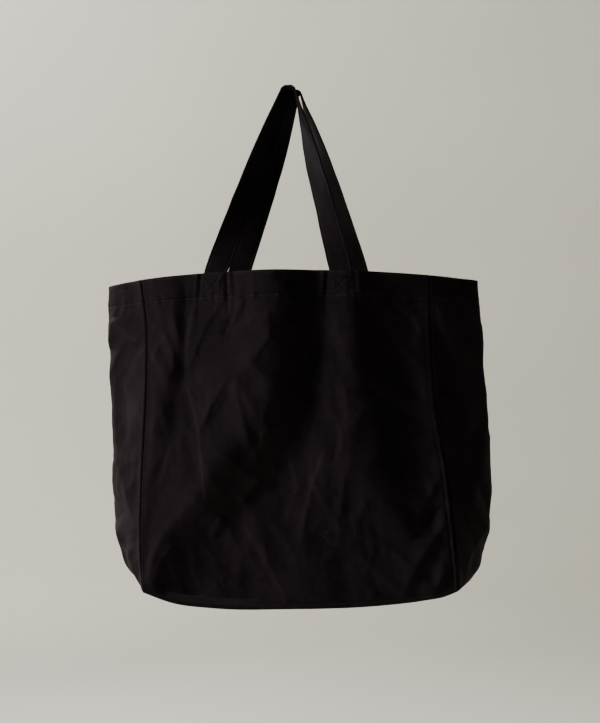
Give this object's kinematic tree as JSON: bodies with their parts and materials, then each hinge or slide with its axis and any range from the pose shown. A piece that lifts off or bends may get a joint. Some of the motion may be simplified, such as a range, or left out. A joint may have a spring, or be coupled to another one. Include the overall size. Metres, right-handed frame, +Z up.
{
  "type": "tote bag",
  "caption": "Hanging canvas tote bag with a full gusset, turned top edge and two stitched carrying handles.",
  "frame": {"origin": "the hang point: the middle of the underside of both handles, where they bear on a hook or cord", "axes": "+Z up as the bag hangs, +X to the right of the front panel, the front panel faces -Y"},
  "size_m": [0.4588, 0.1252, 0.6113],
  "materials": {
    "canvas": "matte woven cotton canvas, black with a slight aubergine cast",
    "strap": "matte folded canvas strap",
    "thread": "spun polyester thread, slight sheen",
    "binding_tape": "cotton tape"
  },
  "bodies": {
    "bag": {"front_panel": "canvas", "front_hem_stitching": "thread", "front_edge_stitching": "thread", "front_seam_binding": "binding_tape", "front_handle_end_left": "strap", "front_handle_end_right": "strap", "front_box_stitching_left": "thread", "front_box_stitching_right": "thread", "back_panel": "canvas", "back_hem_stitching": "thread", "back_edge_stitching": "thread", "back_seam_binding": "binding_tape", "back_handle_end_left": "strap", "back_handle_end_right": "strap", "back_box_stitching_left": "thread", "back_box_stitching_right": "thread", "left_gusset": "canvas", "right_gusset": "canvas", "left_hem_stitching": "thread", "right_hem_stitching": "thread", "bottom_panel": "canvas"},
    "front_handle": {"front_handle": "strap", "front_handle_stitching": "thread"},
    "back_handle": {"back_handle": "strap", "back_handle_stitching": "thread"}
  },
  "joints": [
    {"name": "front_handle_swing", "type": "hinge", "parent": "bag", "child": "front_handle", "pos_m": [0, -0.04918, -0.218], "axis": [1, 0, 0], "range_deg": [0, 178]},
    {"name": "back_handle_swing", "type": "hinge", "parent": "bag", "child": "back_handle", "pos_m": [0, 0.04918, -0.218], "axis": [-1, 0, 0], "range_deg": [0, 178]}
  ]
}
